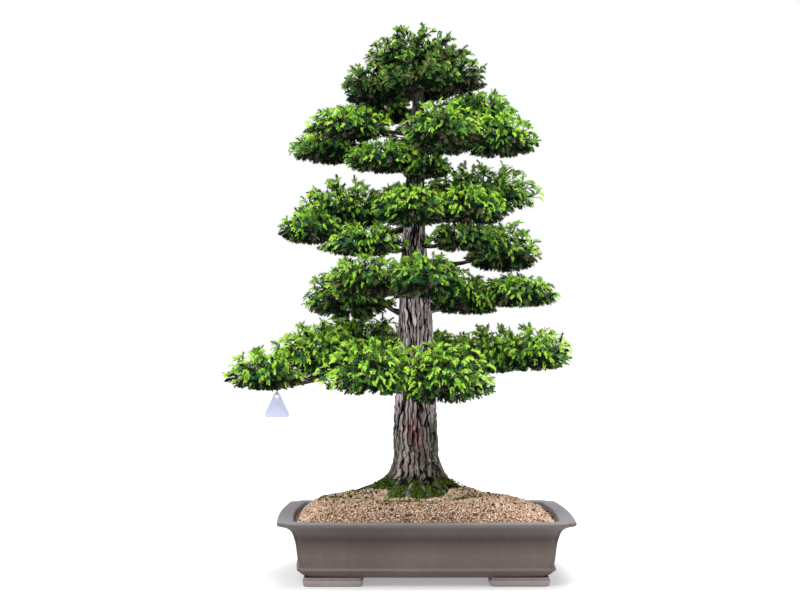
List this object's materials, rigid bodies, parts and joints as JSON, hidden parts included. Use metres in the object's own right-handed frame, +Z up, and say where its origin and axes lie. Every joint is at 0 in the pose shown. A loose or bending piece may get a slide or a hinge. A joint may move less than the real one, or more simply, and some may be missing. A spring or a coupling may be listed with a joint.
{
  "type": "cryptomeria bonsai in a pot",
  "caption": "Upright conifer bonsai with tiers of clipped foliage on a tapering trunk, in a long stoneware pot of grit, with a blank hang tag.",
  "frame": {"origin": "middle of the whole plan (crown and pot together), at the height of the undersides of the pot's feet", "axes": "+Z up along the trunk, +X along the pot's long side to the right of the tree's front view, -Y towards the front view"},
  "size_m": [0.6698, 0.4566, 1.0601],
  "materials": {
    "stoneware": "matte",
    "grit": "matte",
    "bark": "matte",
    "needles": "matte",
    "tag_plastic": "satin"
  },
  "bodies": {
    "root": {"bough_base_back": "bark", "bough_base_front_left": "bark", "bough_base_front_right": "bark", "bough_base_left_back": "bark", "bough_base_left_tip": "bark", "bough_base_right_tip": "bark", "bough_lower_back": "bark", "bough_lower_left": "bark", "bough_lower_right_tip": "bark", "bough_middle_back": "bark", "bough_middle_left_tip": "bark", "bough_middle_right_back": "bark", "bough_middle_right_low": "bark", "bough_middle_right_tip": "bark", "bough_upper_back": "bark", "bough_upper_front": "bark", "bough_upper_left_low": "bark", "bough_upper_right_low": "bark", "foliage_base_back": "needles", "foliage_base_front_left": "needles", "foliage_base_front_right": "needles", "foliage_base_left": "needles", "foliage_base_left_back": "needles", "foliage_base_left_tip": "needles", "foliage_base_right": "needles", "foliage_base_right_tip": "needles", "foliage_crown_back": "needles", "foliage_crown_front": "needles", "foliage_crown_left": "needles", "foliage_crown_right": "needles", "foliage_crown_top": "needles", "foliage_lower_back": "needles", "foliage_lower_front": "needles", "foliage_lower_front_left": "needles", "foliage_lower_left": "needles", "foliage_lower_right": "needles", "foliage_lower_right_tip": "needles", "foliage_middle_back": "needles", "foliage_middle_front": "needles", "foliage_middle_front_right": "needles", "foliage_middle_left": "needles", "foliage_middle_left_low": "needles", "foliage_middle_left_tip": "needles", "foliage_middle_right_back": "needles", "foliage_middle_right_low": "needles", "foliage_middle_right_tip": "needles", "foliage_middle_top": "needles", "foliage_upper_back": "needles", "foliage_upper_back_left": "needles", "foliage_upper_front": "needles", "foliage_upper_left": "needles", "foliage_upper_left_low": "needles", "foliage_upper_right": "needles", "foliage_upper_right_low": "needles", "foliage_upper_under": "needles", "hang_tag": "tag_plastic", "pot": "stoneware", "soil": "grit", "trunk": "bark"}
  },
  "joints": []
}
